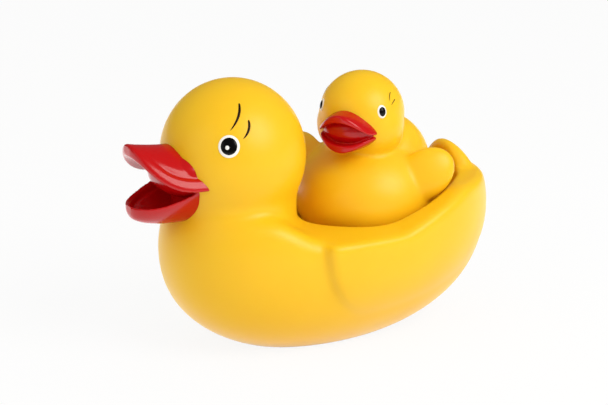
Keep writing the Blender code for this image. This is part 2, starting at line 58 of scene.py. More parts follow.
def setSockets(tree, node, inputs):
    # Give a node its inputs: a socket is linked, anything else is set as a plain value.
    for name, value in inputs.items():
        if isinstance(value, bpy.types.NodeSocket):
            tree.links.new(value, node.inputs[name])
        else:
            node.inputs[name].default_value = value


def addNode(tree, kind, inputs=None, **settings):
    # One node with its settings, its values and its links.
    node = tree.nodes.new(kind)
    for name, value in settings.items():
        setattr(node, name, value)
    setSockets(tree, node, inputs or {})
    return node


def newMaterial(name):
    material = bpy.data.materials.new(name)
    material.use_nodes = True
    tree = material.node_tree
    return material, tree, tree.nodes["Principled BSDF"]


# Soft vinyl, moulded in colour: satin, with light that spreads under the skin. The grain is drawn coarser
# than real so that it shows.
vinylLook = {
    "light": "#F6C61A",
    "deep": "#F2BA06",
    "tintSize": 34 * mm,
    "grainSize": 0.55 * mm,
    "grainDepth": 0.012 * mm,
    "grainStrength": 0.6,
    "roughness": 0.40,
    "smootherBy": 0.03,
    "rougherBy": 0.04,
    "shine": 0.42,
    "ior": 1.46,
    "glow": 0.30,
    "glowDepth": 4.0 * mm,
    "glowReach": (0.85, 0.65, 0.05),  # red and green light travel far in yellow vinyl, blue hardly
}


def makeVinyl(name, look):
    material, tree, shader = newMaterial(name)
    place = addNode(tree, "ShaderNodeTexCoord").outputs["Object"]
    tint = addNode(tree, "ShaderNodeTexNoise", {
        "Vector": place,
        "Scale": 1 / look["tintSize"],
        "Detail": 2.0,
    })
    colour = addNode(tree, "ShaderNodeMix", {
        "Factor": tint.outputs["Fac"],
        "A": linearColour(look["light"]),
        "B": linearColour(look["deep"]),
    }, data_type="RGBA")
    wear = addNode(tree, "ShaderNodeMapRange", {
        "Value": tint.outputs["Fac"],
        "To Min": look["roughness"] - look["smootherBy"],
        "To Max": look["roughness"] + look["rougherBy"],
    })
    grain = addNode(tree, "ShaderNodeTexNoise", {
        "Vector": place,
        "Scale": 1 / look["grainSize"],
        "Detail": 3.0,
    })
    bump = addNode(tree, "ShaderNodeBump", {
        "Height": grain.outputs["Fac"],
        "Strength": look["grainStrength"],
        "Distance": look["grainDepth"],
    })
    setSockets(tree, shader, {
        "Base Color": colour.outputs["Result"],
        "Roughness": wear.outputs["Result"],
        "Normal": bump.outputs["Normal"],
        "IOR": look["ior"],
        "Specular IOR Level": look["shine"],
        "Subsurface Weight": look["glow"],
        "Subsurface Radius": look["glowReach"],
        "Subsurface Scale": look["glowDepth"],
    })
    return material


# Vinyl spray paint, masked or brushed on by hand: glossy, with a slightly uneven flow.
# Black and brown are duller.
paints = {
    "red": {"colour": "#BC0508", "roughness": 0.24, "shine": 0.30},
    "white": {"colour": "#F4F1EA", "roughness": 0.30, "shine": 0.30},
    "black": {"colour": "#070606", "roughness": 0.22, "shine": 0.14},
    "brown": {"colour": "#1E0E06", "roughness": 0.40, "shine": 0.10},
}
paintFlow = {
    "ior": 1.5,
    "coatShare": 0.6,
    "coatRoughness": 0.10,
    "size": 3.5 * mm,
    "depth": 0.05 * mm,
    "strength": 0.5,
}


def makePaint(name, paint, flow):
    material, tree, shader = newMaterial(name)
    place = addNode(tree, "ShaderNodeTexCoord").outputs["Object"]
    waves = addNode(tree, "ShaderNodeTexNoise", {"Vector": place, "Scale": 1 / flow["size"], "Detail": 2.0})
    bump = addNode(tree, "ShaderNodeBump", {
        "Height": waves.outputs["Fac"],
        "Strength": flow["strength"],
        "Distance": flow["depth"],
    })
    setSockets(tree, shader, {
        "Base Color": linearColour(paint["colour"]),
        "Roughness": paint["roughness"],
        "Normal": bump.outputs["Normal"],
        "IOR": flow["ior"],
        "Specular IOR Level": paint["shine"],
        "Coat Weight": paint["shine"] * flow["coatShare"],
        "Coat Roughness": flow["coatRoughness"],
    })
    return material


vinyl = makeVinyl("softVinylMoulding", vinylLook)
redPaint = makePaint("redGlossPaint", paints["red"], paintFlow)
whitePaint = makePaint("whiteEyePaint", paints["white"], paintFlow)
blackPaint = makePaint("blackEyePaint", paints["black"], paintFlow)
brownPaint = makePaint("brownBrushPaint", paints["brown"], paintFlow)
print("materials ready")


def addObject(name, shape, material):
    mesh = bpy.data.meshes.new(name)
    shape.to_mesh(mesh)
    shape.free()
    mesh.materials.append(material)
    item = bpy.data.objects.new(name, mesh)
    bpy.context.scene.collection.objects.link(item)
    return item


def egg(name, semiAxes, centre, material, turn=None, segments=96, fullness=2.0):
    # A ball swelled towards a cube by its fullness, stretched, turned and placed.
    shape = bmesh.new()
    place = Matrix.Translation(centre)
    if turn is not None:
        place = place @ turn.to_4x4()
    bmesh.ops.create_uvsphere(shape, u_segments=segments, v_segments=segments // 2, radius=1.0)
    for vert in shape.verts:
        vert.co *= sum(abs(part) ** fullness for part in vert.co) ** (-1 / fullness)
    shape.transform(place @ Matrix.Diagonal((*semiAxes, 1.0)))
    return addObject(name, shape, material)


def sideSlab(name, outline, material):
    # A side-view outline of (y, z) points made very wide.
    shape = bmesh.new()
    face = shape.faces.new([shape.verts.new((-farAway, y, z)) for y, z in outline])
    grown = bmesh.ops.extrude_face_region(shape, geom=[face])
    moved = [part for part in grown["geom"] if isinstance(part, bmesh.types.BMVert)]
    bmesh.ops.translate(shape, verts=moved, vec=(2 * farAway, 0, 0))
    bmesh.ops.recalc_face_normals(shape, faces=shape.faces)
    return addObject(name, shape, material)


def bake(item):
    graph = bpy.context.evaluated_depsgraph_get()
    mesh = bpy.data.meshes.new_from_object(item.evaluated_get(graph), depsgraph=graph)
    item.modifiers.clear()
    item.data = mesh


def combine(item, tool, operation):
    step = item.modifiers.new("combine", "BOOLEAN")
    step.operation = operation
    step.solver = "EXACT"
    step.object = tool
    bake(item)
    bpy.data.objects.remove(tool, do_unlink=True)


voxelPasses = 4  # smoothing passes that spread a crease over one voxel, growing with the square of the flow


def soften(item, voxel, flow):
    # Remake the surface evenly and let its creases flow into fillets.
    grid = item.modifiers.new("grid", "REMESH")
    grid.mode = "VOXEL"
    grid.voxel_size = voxel
    easing = item.modifiers.new("easing", "SMOOTH")
    easing.factor = 0.5
    easing.iterations = max(1, round(voxelPasses * (flow / voxel) ** 2))
    bake(item)


def cutBase(item, material):
    outline = [(-farAway, -farAway), (farAway, -farAway), (farAway, 0.0), (-farAway, 0.0)]
    combine(item, sideSlab("below", outline, material), "DIFFERENCE")


def cutAirHole(item, radius, depth, material):
    shape = bmesh.new()
    bmesh.ops.create_cone(shape, cap_ends=True, segments=40, radius1=radius, radius2=radius, depth=2 * depth)
    combine(item, addObject("airHole", shape, material), "DIFFERENCE")


# The mother's sizes, in metres and degrees, as in the CAD model. Change them in both places.
# Her width, head height and bill are up to 0.1 mm less, so that the finer skin stays inside the CAD's box.
mother = {
    "bodyLength": 0.1380,
    "bodyWidth": 0.0839,
    "bodyHeight": 0.0895,
    "bodySink": 0.0054,
    "bodyTilt": 3.5,
    "bodyFullness": 2.2,
    "breastDeck": 0.0568,
    "notchHeight": 0.0471,
    "notchFromNeck": 0.0180,
    "notchSlope": 0.0150,
    "wingEndForward": 0.0265,
    "wingDrop": 0.0035,
    "wingDeck": 0.0586,
    "tailHeight": 0.0752,
    "tailWidth": 0.0420,
    "tailForward": 0.0235,
    "headRadius": 0.0281,
    "headTallness": 1.045,
    "headForward": 0.0400,
    "headHeight": 0.07514,
    "neckRadius": 0.0243,
    "wingRelief": 0.0036,
    "wingLift": 0.0050,
    "wingLength": 0.1080,
    "wingDepth": 0.0840,
    "nestLength": 0.0740,
    "nestWidth": 0.0635,
    "nestMouth": 0.0546,
    "nestFloor": 0.0306,
    "nestFloorRadius": 0.0190,
    "nestBack": 0.0200,
    "airHole": 0.0020,
    "wall": 0.0024,
    "voxel": 0.0009,
    "shoulderFlow": 0.0062,
    "bodyFlow": 0.0040,
    "wingFlow": 0.0026,
    "edgeFlow": 0.0020,
}
bodyCentre = Vector((0, 0, mother["bodyHeight"] / 2 - mother["bodySink"]))
headCentre = Vector((0, -mother["headForward"], mother["headHeight"]))
nestCentre = Vector((0, mother["nestBack"], mother["nestMouth"]))


def deckOutline(sizes):
    # Side view of what is sliced off the top of the body, front to back.
    notch = -sizes["headForward"] + sizes["notchFromNeck"]
    wingEnd = sizes["bodyLength"] / 2 - sizes["wingEndForward"]
    return [
        (-farAway, sizes["breastDeck"]),
        (notch - sizes["notchSlope"], sizes["breastDeck"]),
        (notch, sizes["notchHeight"]),
        ((notch + wingEnd) / 2, sizes["notchHeight"]),
        (wingEnd, sizes["wingDeck"]),
        (farAway, sizes["wingDeck"]),
        (farAway, farAway),
        (-farAway, farAway),
    ]


def wingOutline(sizes, points=90):
    middle = -sizes["headForward"] + sizes["notchFromNeck"] + sizes["wingLength"] / 2
    low = sizes["notchHeight"] - sizes["wingDrop"]
    halfLength, halfDepth = sizes["wingLength"] / 2, sizes["wingDepth"] / 2
    turns = [math.tau * i / points for i in range(points)]
    return [(middle + halfLength * math.cos(a), low + halfDepth * math.sin(a)) for a in turns]


def nestBowl(sizes, material):
    depth = sizes["nestMouth"] - sizes["nestFloor"]
    roundDepth = depth / math.sqrt(1 - (sizes["nestFloorRadius"] / (sizes["nestWidth"] / 2)) ** 2)
    bowl = egg("nest", (sizes["nestWidth"] / 2, sizes["nestLength"] / 2, roundDepth), nestCentre, material)
    floor = sizes["nestFloor"]
    outline = [(-farAway, -farAway), (farAway, -farAway), (farAway, floor), (-farAway, floor)]
    combine(bowl, sideSlab("under", outline, material), "DIFFERENCE")
    return bowl


def hull(name, grow, lift, sizes, material):
    semiAxes = Vector((sizes["bodyWidth"] / 2 + grow, sizes["bodyLength"] / 2, sizes["bodyHeight"] / 2))
    turn = Matrix.Rotation(math.radians(sizes["bodyTilt"]), 3, "X")
    return egg(name, semiAxes, bodyCentre + Vector((0, 0, lift)), material, turn, 128, sizes["bodyFullness"])


def tailLobe(sizes, material):
    tail = hull("tail", 0.0, 0.0, sizes, material)
    low = sizes["wingDeck"] - sizes["tailWidth"] / 2
    semiAxes = (sizes["tailWidth"] / 2, sizes["tailForward"], sizes["tailHeight"] - low)
    combine(tail, egg("lobe", semiAxes, Vector((0, sizes["bodyLength"] / 2, low)), material), "INTERSECT")
    return tail


def wingPair(sizes, material):
    wings = hull("wings", sizes["wingRelief"], sizes["wingLift"], sizes, material)
    combine(wings, sideSlab("wingSide", wingOutline(sizes), material), "INTERSECT")
    combine(wings, sideSlab("deck", deckOutline(sizes), material), "DIFFERENCE")
    soften(wings, sizes["voxel"], sizes["wingFlow"])
    return wings


def neckBall(sizes, material):
    foot = sizes["breastDeck"] - sizes["neckRadius"]
    height = sizes["headHeight"] - foot
    middle = Vector((0, -sizes["headForward"], foot + height / 2))
    return egg("neck", (sizes["neckRadius"], sizes["neckRadius"], height), middle, material)


def buildMotherSkin(sizes, material):
    # Body, tail, neck and head flowed together, then the wings laid on and the nest pressed in.
    skin = hull("motherSkin", 0.0, 0.0, sizes, material)
    combine(skin, sideSlab("deck", deckOutline(sizes), material), "DIFFERENCE")
    soften(skin, sizes["voxel"], sizes["shoulderFlow"])
    combine(skin, tailLobe(sizes, material), "UNION")
    combine(skin, neckBall(sizes, material), "UNION")
    radius = sizes["headRadius"]
    headAxes = (radius, radius, radius * sizes["headTallness"])
    combine(skin, egg("head", headAxes, headCentre, material), "UNION")
    soften(skin, sizes["voxel"], sizes["bodyFlow"])
    combine(skin, wingPair(sizes, material), "UNION")
    combine(skin, nestBowl(sizes, material), "DIFFERENCE")
    soften(skin, sizes["voxel"], sizes["edgeFlow"])
    cutBase(skin, material)
    cutAirHole(skin, sizes["airHole"], sizes["wall"], material)
    return skin


motherSkin = buildMotherSkin(mother, vinyl)
print("mother skin", len(motherSkin.data.polygons))

# The mother's bill, in metres: heights from the middle of her head, reaches from its front.
# Curves, fullness, roots, ends and the throat's width and depth are powers and shares.
motherMouth = {
    "width": 0.0370,
    "upperReach": 0.0161,
    "upperRise": 0.0098,
    "upperCrown": 0.0070,
    "upperLip": 0.0050,
    "lowerWidth": 0.0300,
    "lowerReach": 0.0160,
    "lowerDrop": 0.0126,
    "lowerDepth": 0.0050,
    "lowerLip": 0.0048,
    "cornerDrop": 0.0068,
    "rootSink": 0.32,
    "cornerCurve": 3.2,
    "lowerRimCurve": 1.4,
    "upperFullness": 2.0,
    "lowerFullness": 2.8,
    "throatWidth": 0.52,
    "throatDepth": 0.50,
    "throatFullness": 2.6,
    "throatCover": 0.0012,
    "insideWidth": 0.0276,
    "groove": 0.0009,
    "grooveAt": 0.85,
    "grooveSpread": 0.036,
    "upperGrooveEnd": 0.86,
    "lowerGrooveEnd": 1.30,
    "grooveFade": 0.3,
    "voxel": 0.0004,
    "flow": 0.0004,
}

# How every half of a bill is divided and rounded: counts, shares and powers.
bladeShape = {
    "stations": 64,
    "around": 144,
    "reach": 0.992,
    "tipRoundness": 2.3,
    "lipRoundness": 0.6,
    "thinTip": 0.45,
}


def billBlade(name, root, length, halfWidth, middleLine, edgeLine, lip, fullness, material, relief=None):
    # A dished blade from the root to a round tip, with a rounded lip and an optional relief near its outline.
    stations, around = bladeShape["stations"], bladeShape["around"]
    shape = bmesh.new()
    rings = []
    for i in range(stations + 1):
        along = math.sin(math.pi / 2 * i / stations)
        tipward = (bladeShape["reach"] * along) ** bladeShape["tipRoundness"]
        width = halfWidth * math.sqrt(max(0.0, 1 - tipward))
        middle, edge = middleLine(along), edgeLine(along)
        ring = []
        for j in range(around):
            angle = math.tau * j / around
            across = math.cos(angle)
            swell = math.copysign(abs(math.sin(angle)) ** bladeShape["lipRoundness"], math.sin(angle))
            height = edge + (middle - edge) * (1 - abs(across) ** fullness)
            height += lip / 2 * swell * min(1.0, bladeShape["thinTip"] + width / lip / 2)
            if relief and math.sin(angle) > 0:
                outward = math.sqrt((width * across / halfWidth) ** 2 + tipward)
                height += relief(outward, along)
            ring.append(shape.verts.new((root.x + width * across, root.y - length * along, root.z + height)))
        rings.append(ring)
    for first, second in zip(rings, rings[1:]):
        for j in range(around):
            k = (j + 1) % around
            shape.faces.new((first[j], first[k], second[k], second[j]))
    shape.faces.new(rings[0])
    shape.faces.new(rings[-1])
    bmesh.ops.recalc_face_normals(shape, faces=shape.faces)
    return addObject(name, shape, material)


def rimGroove(sizes, outward, along, end):
    # The shallow groove inside each lip. The upper bill's fades out before its tip.
    shape = math.exp(-((outward - sizes["grooveAt"]) / sizes["grooveSpread"]) ** 2)
    return -sizes["groove"] * shape * min(1.0, max(0.0, (end - along) / sizes["grooveFade"]))


def buildMotherBill(sizes, headRadius, material):
    # Both halves of the open bill and the back of the mouth between them, as one painted form.
    sink = headRadius * sizes["rootSink"]
    root = headCentre + Vector((0, sink - headRadius, 0))
    halfLip, corner = sizes["upperLip"] / 2, -sizes["cornerDrop"]
    crown, rise = sizes["upperCrown"], sizes["upperRise"]
    upper = billBlade(
        "motherBill", root, sizes["upperReach"] + sink, sizes["width"] / 2,
        lambda t: crown + (rise - crown) * t ** 2 - halfLip,
        lambda t: corner + (rise - halfLip - corner) * t ** sizes["cornerCurve"],
        sizes["upperLip"], sizes["upperFullness"], material,
        lambda r, t: rimGroove(sizes, r, t, sizes["upperGrooveEnd"]))
    rim = -sizes["lowerDrop"] - sizes["lowerLip"] / 2
    lower = billBlade(
        "lowerBill", root, sizes["lowerReach"] + sink, sizes["lowerWidth"] / 2,
        lambda t: rim - sizes["lowerDepth"] * math.sqrt(max(0.0, 1 - t ** 3)),
        lambda t: rim + (corner - rim) * (1 - t) ** sizes["lowerRimCurve"],
        sizes["lowerLip"], sizes["lowerFullness"], material,
        lambda r, t: rimGroove(sizes, r, t, sizes["lowerGrooveEnd"]))
    top, bottom = crown - sizes["throatCover"], -sizes["lowerDrop"]
    semiAxes = (sizes["lowerWidth"] * sizes["throatWidth"], headRadius * sizes["throatDepth"],
                (top - bottom) / 2)
    middle = root + Vector((0, 0, (top + bottom) / 2))
    throat = egg("throat", semiAxes, middle, material, segments=64, fullness=sizes["throatFullness"])
    combine(lower, throat, "UNION")
    combine(upper, lower, "UNION")
    soften(upper, sizes["voxel"], sizes["flow"])
    return upper


motherBill = buildMotherBill(motherMouth, mother["headRadius"], redPaint)


def paintMouth(skin, sizes, material):
    # Red paint on the head between the two blades, with its edges inside their thickness.
    skin.data.materials.append(material)
    corner, rim = -sizes["cornerDrop"], -sizes["lowerDrop"] - sizes["lowerLip"] / 2
    edge, middle = (corner + rim) / 2, rim - sizes["lowerDepth"]
    roof = sizes["upperCrown"] - sizes["upperLip"] / 2
    for face in skin.data.polygons:
        spot = face.center - headCentre
        across = abs(spot.x) / (sizes["insideWidth"] / 2)
        if spot.y > 0 or across > 1:
            continue
        top = roof + (corner - roof) * (spot.x / (sizes["width"] / 2)) ** 2
        if edge + (middle - edge) * (1 - across ** sizes["lowerFullness"]) < spot.z < top:
            face.material_index = 1


paintMouth(motherSkin, motherMouth, redPaint)
print("mother bill", len(motherBill.data.polygons))

# The duckling's sizes, in metres from its own flat base, with angles in degrees.
duckling = {
    "bodyLength": 0.0600,
    "bodyWidth": 0.0570,
    "bodyHeight": 0.0470,
    "bodySink": 0.0030,
    "backWidth": 0.0440,
    "backHeight": 0.0520,
    "backBehindHead": 0.0020,
    "backMiddleShare": 0.35,
    "backLengthShare": 0.45,
    "headRadius": 0.0166,
    "headForward": 0.0056,
    "headHeight": 0.0540,
    "cheekRadius": 0.0132,
    "cheekSpread": 0.0042,
    "cheekForward": 0.0015,
    "wingLength": 0.0265,
    "wingWidth": 0.0195,
    "wingThickness": 0.0096,
    "wingOut": 0.0256,
    "wingHeight": 0.0312,
    "wingAhead": 0.0036,
    "wingRaise": 35.0,
    "wingSweep": 35.0,
    "tailReach": 0.0060,
    "tailHalfWidth": 0.0095,
    "tailHalfThickness": 0.0045,
    "tailBackShare": 0.8,
    "tailUpShare": 0.62,
    "tailRaise": 35.0,
    "turn": 35.0,
    "seatGap": 0.0003,
    "airHole": 0.0020,
    "wall": 0.0024,
    "voxel": 0.0006,
    "flow": 0.0020,
}
chickHead = Vector((0, -duckling["headForward"], duckling["headHeight"]))


def chickWing(side, sizes, material):
    # A small paddle held out from the flank, swept back and raised, with its broad side to the front.
    raised, swept = math.radians(sizes["wingRaise"]), math.radians(sizes["wingSweep"])
    lengthWay = Vector((side * math.cos(swept) * math.cos(raised), math.sin(swept) * math.cos(raised),
                        math.sin(raised)))
    ahead = Vector((0, -1, 0))
    flatWay = (ahead - ahead.dot(lengthWay) * lengthWay).normalized()
    turn = Matrix((lengthWay.cross(flatWay), lengthWay, flatWay)).transposed()
    semiAxes = Vector((sizes["wingWidth"], sizes["wingLength"], sizes["wingThickness"])) / 2
    middle = Vector((side * sizes["wingOut"], -sizes["wingAhead"], sizes["wingHeight"]))
    return egg("wing", semiAxes, middle, material, turn)


def buildChickSkin(sizes, material):
    semiAxes = Vector((sizes["bodyWidth"], sizes["bodyLength"], sizes["bodyHeight"])) / 2
    middle = Vector((0, 0, semiAxes.z - sizes["bodySink"]))
    skin = egg("ducklingSkin", semiAxes, middle, material)
    backHigh = sizes["backHeight"] - middle.z
    backUp = backHigh * sizes["backMiddleShare"]
    backCentre = Vector((0, sizes["headForward"] + sizes["backBehindHead"], middle.z + backUp))
    backAxes = (sizes["backWidth"] / 2, sizes["backWidth"] * sizes["backLengthShare"], backHigh - backUp)
    combine(skin, egg("back", backAxes, backCentre, material), "UNION")
    tailBack = sizes["tailBackShare"]
    tailCentre = Vector((0, semiAxes.y * tailBack, middle.z + semiAxes.z * sizes["tailUpShare"]))
    tailHalfLength = semiAxes.y * (1 - tailBack) + sizes["tailReach"]
    tailAxes = (sizes["tailHalfWidth"], tailHalfLength, sizes["tailHalfThickness"])
    tailTurn = Matrix.Rotation(math.radians(sizes["tailRaise"]), 3, "X")
    tail = egg("tail", tailAxes, tailCentre, material, tailTurn)
    combine(skin, tail, "UNION")
    combine(skin, egg("head", (sizes["headRadius"],) * 3, chickHead, material), "UNION")
    for side in (-1, 1):
        spread = sizes["cheekSpread"]
        cheek = chickHead + Vector((side * spread, -sizes["cheekForward"], -spread))
        combine(skin, egg("cheek", (sizes["cheekRadius"],) * 3, cheek, material), "UNION")
        combine(skin, chickWing(side, sizes, material), "UNION")
    soften(skin, sizes["voxel"], sizes["flow"])
    cutBase(skin, material)
    cutAirHole(skin, sizes["airHole"], sizes["wall"], material)
    return skin


ducklingSkin = buildChickSkin(duckling, vinyl)
print("duckling skin", len(ducklingSkin.data.polygons))

# The duckling's lips, in metres: heights from a level one drop below the middle of its head, reaches
# from its front.
ducklingMouth = {
    "width": 0.0235,
    "upperReach": 0.0062,
    "upperHeight": 0.0082,
    "upperFall": 0.0010,
    "upperCorner": 0.0004,
    "upperEdgeRise": 0.0066,
    "lowerReach": 0.0050,
    "lowerWidthShare": 0.97,
    "lowerDepth": 0.0058,
    "lowerCorner": 0.0010,
    "lowerEdgeFall": 0.0038,
    "lip": 0.0030,
    "fullness": 2.0,
    "drop": 0.0050,
    "rootSink": 0.34,
    "throatWidthShare": 0.93,
    "throatReach": 0.0024,
    "throatHalfHeight": 0.0066,
    "throatUp": 0.0011,
    "voxel": 0.00035,
    "flow": 0.00035,
}


def buildChickBill(sizes, headRadius, material):
    sink = headRadius * sizes["rootSink"]
    root = chickHead + Vector((0, sink - headRadius, -sizes["drop"]))
    half = sizes["width"] / 2
    upper = billBlade(
        "ducklingBill", root, sizes["upperReach"] + sink, half,
        lambda t: sizes["upperHeight"] - sizes["upperFall"] * t,
        lambda t: sizes["upperCorner"] + sizes["upperEdgeRise"] * t ** 3,
        sizes["lip"], sizes["fullness"], material)
    lower = billBlade(
        "lowerLip", root, sizes["lowerReach"] + sink, half * sizes["lowerWidthShare"],
        lambda t: sizes["upperFall"] * t - sizes["lowerDepth"],
        lambda t: -sizes["lowerCorner"] - sizes["lowerEdgeFall"] * t ** 3,
        sizes["lip"], sizes["fullness"], material)
    throatAxes = (half * sizes["throatWidthShare"], sink + sizes["throatReach"], sizes["throatHalfHeight"])
    throatMiddle = root + Vector((0, 0, sizes["throatUp"]))
    throat = egg("throat", throatAxes, throatMiddle, material, segments=64)
    combine(lower, throat, "UNION")
    combine(upper, lower, "UNION")
    soften(upper, sizes["voxel"], sizes["flow"])
    return upper


ducklingBill = buildChickBill(ducklingMouth, duckling["headRadius"], redPaint)
print("duckling bill", len(ducklingBill.data.polygons))

# Eyes: sizes in metres, angles in degrees round from straight ahead and up. The glint is a painted dot.
motherEyes = {
    "width": 0.0080,
    "height": 0.0085,
    "angle": 59.0,
    "elevation": 21.0,
    "relief": 0.0004,
    "pupil": 0.88,
    "glint": 0.30,
    "glintAside": -0.07,
    "glintUp": -0.06,
}
ducklingEyes = {
    "width": 0.0040,
    "height": 0.0052,
    "angle": 52.0,
    "elevation": 13.5,
    "relief": 0.0004,
    "pupil": 0.84,
    "glint": 0.0,
}
eyeLift = {"White": 2.0, "Pupil": 2.6, "Glint": 3.2}  # thickness of each layer, in reliefs


def eyePlace(centre, radius, angle, elevation, side):
    around, up = math.radians(angle), math.radians(elevation)
    out = Vector((side * math.sin(around) * math.cos(up), -math.cos(around) * math.cos(up), math.sin(up)))
    return centre + radius * out, out.to_track_quat("Z", "Y").to_matrix()


def layPatch(name, centre, radius, eye, side, share, lift, aside, up, material):
    # A low domed patch of paint on the head, moved sideways and up by shares of the eye.
    place, turn = eyePlace(centre, radius, eye["angle"], eye["elevation"], side)
    shifted = place + turn @ Vector((eye["width"] * aside, eye["height"] * up, 0))
    shifted = centre + (shifted - centre).normalized() * radius
    semiAxes = Vector((eye["width"] / 2 * share, eye["height"] / 2 * share, eye["relief"] * lift))
    return egg(name, semiAxes, shifted, material, turn, segments=48)


def buildEyes(prefix, centre, radius, eye):
    # White, pupil and, where the eye has one, a glint on both sides of a head.
    pieces = []
    for side, label in ((-1, "Right"), (1, "Left")):
        layers = [
            ("White", 1.0, 0.0, 0.0, whitePaint),
            ("Pupil", eye["pupil"], 0.0, 0.0, blackPaint),
        ]
        if eye["glint"]:
            layers.append(("Glint", eye["glint"], eye["glintAside"], eye["glintUp"], whitePaint))
        for word, share, aside, up, material in layers:
            pieces.append(layPatch(prefix + label + word, centre, radius - eye["relief"], eye, side,
                                   share, eyeLift[word], aside, up, material))
    return pieces


motherEyePieces = buildEyes("mother", headCentre, mother["headRadius"], motherEyes)
ducklingEyePieces = buildEyes("duckling", chickHead, duckling["headRadius"], ducklingEyes)
print("eyes ready")

# Brow strokes: lists of (angle, elevation) in degrees on the head, top to bottom, and a width in metres.
motherBrows = {
    "strokes": [[(71, 56), (68, 44), (60, 33)], [(78, 41), (76.5, 33), (71, 26.5)]],
    "width": 0.0012,
}
ducklingBrows = {
    "strokes": [[(79, 37), (72, 32), (69, 25)], [(82, 26), (76, 23.5), (70, 20)]],
    "width": 0.0005,
}

# The brush: its press from the top to the bottom of a stroke, as (share of length, share of width), and
# how deep the stroke's middle line lies, as a share of its half width.
brush = {
    "steps": 12,
    "points": 40,
    "sides": 12,
    "press": [(0.0, 0.25), (0.30, 1.0), (0.65, 0.85), (1.0, 0.12)],
    "sunk": 0.6,
}


def strokeNodes():
    # Geometry Nodes that lay a tapered brush stroke along a path on a surface.
    tree = bpy.data.node_groups.new("brushStroke", "GeometryNodeTree")
    tree.interface.new_socket("Geometry", in_out="INPUT", socket_type="NodeSocketGeometry")
    kinds = {"Surface": "NodeSocketObject", "Width": "NodeSocketFloat", "Paint": "NodeSocketMaterial"}
    for name, kind in kinds.items():
        tree.interface.new_socket(name, in_out="INPUT", socket_type=kind)
    tree.interface.new_socket("Geometry", in_out="OUTPUT", socket_type="NodeSocketGeometry")
    start = addNode(tree, "NodeGroupInput")
    path = addNode(tree, "GeometryNodeMeshToCurve", {"Mesh": start.outputs["Geometry"]})
    spaced = addNode(tree, "GeometryNodeResampleCurve", {
        "Curve": path.outputs["Curve"],
        "Count": brush["points"],
    })
    target = addNode(tree, "GeometryNodeObjectInfo", {"Object": start.outputs["Surface"]},
                     transform_space="RELATIVE")
    nearest = addNode(tree, "GeometryNodeProximity", {0: target.outputs["Geometry"]}, target_element="FACES")
    facing = addNode(tree, "GeometryNodeInputNormal")
    outward = addNode(tree, "GeometryNodeSampleNearestSurface", {
        "Mesh": target.outputs["Geometry"],
        "Value": facing.outputs["Normal"],
    }, data_type="FLOAT_VECTOR")
    along = addNode(tree, "GeometryNodeSplineParameter")
    taper = addNode(tree, "ShaderNodeFloatCurve", {"Value": along.outputs["Factor"]})
    points = taper.mapping.curves[0].points
    points[0].location, points[1].location = brush["press"][0], brush["press"][-1]
    for share, width in brush["press"][1:-1]:
        points.new(share, width)
    taper.mapping.update()
    half = addNode(tree, "ShaderNodeMath", {0: start.outputs["Width"], 1: 0.5}, operation="MULTIPLY")
    scaled = addNode(tree, "ShaderNodeMath", {
        0: taper.outputs["Value"],
        1: half.outputs["Value"],
    }, operation="MULTIPLY")
    sink = addNode(tree, "ShaderNodeMath", {
        0: scaled.outputs["Value"],
        1: -brush["sunk"],
    }, operation="MULTIPLY")
    inward = addNode(tree, "ShaderNodeVectorMath", {
        0: outward.outputs["Value"],
        "Scale": sink.outputs["Value"],
    }, operation="SCALE")
    laid = addNode(tree, "GeometryNodeSetPosition", {
        "Geometry": spaced.outputs["Curve"],
        "Position": nearest.outputs["Position"],
        "Offset": inward.outputs["Vector"],
    })
    ring = addNode(tree, "GeometryNodeCurvePrimitiveCircle", {"Resolution": brush["sides"], "Radius": 1.0})
    tube = addNode(tree, "GeometryNodeCurveToMesh", {
        "Curve": laid.outputs["Geometry"],
        "Profile Curve": ring.outputs["Curve"],
        "Scale": scaled.outputs["Value"],
        "Fill Caps": True,
    })
    real = addNode(tree, "GeometryNodeRealizeInstances", {"Geometry": tube.outputs["Mesh"]})
    painted = addNode(tree, "GeometryNodeSetMaterial", {
        "Geometry": real.outputs["Geometry"],
        "Material": start.outputs["Paint"],
    })
    addNode(tree, "NodeGroupOutput", {"Geometry": painted.outputs["Geometry"]})
    return tree


brushStroke = strokeNodes()


def setInputs(modifier, values):
    # Find each named input's identifier and set the modifier's value there.
    for item in modifier.node_group.interface.items_tree:
        if item.item_type == "SOCKET" and item.in_out == "INPUT" and item.name in values:
            modifier[item.identifier] = values[item.name]


def buildBrows(prefix, centre, radius, brows, surface):
    # Dark tapered strokes over each eye, laid on the head.
    pieces = []
    for side, label in ((-1, "Right"), (1, "Left")):
        for number, stroke in enumerate(brows["strokes"]):
            shape = bmesh.new()
            spots = [eyePlace(centre, radius, angle, elevation, side)[0] for angle, elevation in stroke]
            steps = [curveSpot(spots, i / brush["steps"]) for i in range(brush["steps"] + 1)]
            verts = [shape.verts.new(step) for step in steps]
            for first, second in zip(verts, verts[1:]):
                shape.edges.new((first, second))
            item = addObject(prefix + label + "Brow" + "AB"[number], shape, brownPaint)
            step = item.modifiers.new("stroke", "NODES")
            step.node_group = brushStroke
            setInputs(step, {"Surface": surface, "Width": brows["width"], "Paint": brownPaint})
            bake(item)
            pieces.append(item)
    return pieces


def curveSpot(spots, share):
    # A point on the parabola through three spots.
    first, middle, last = spots
    control = 2 * middle - (first + last) / 2
    return (1 - share) ** 2 * first + 2 * share * (1 - share) * control + share ** 2 * last


motherBrowPieces = buildBrows("mother", headCentre, mother["headRadius"], motherBrows, motherSkin)
ducklingBrowPieces = buildBrows("duckling", chickHead, duckling["headRadius"], ducklingBrows, ducklingSkin)
print("brows ready")


def moveAll(pieces, matrix):
    for piece in pieces:
        piece.data.transform(matrix)


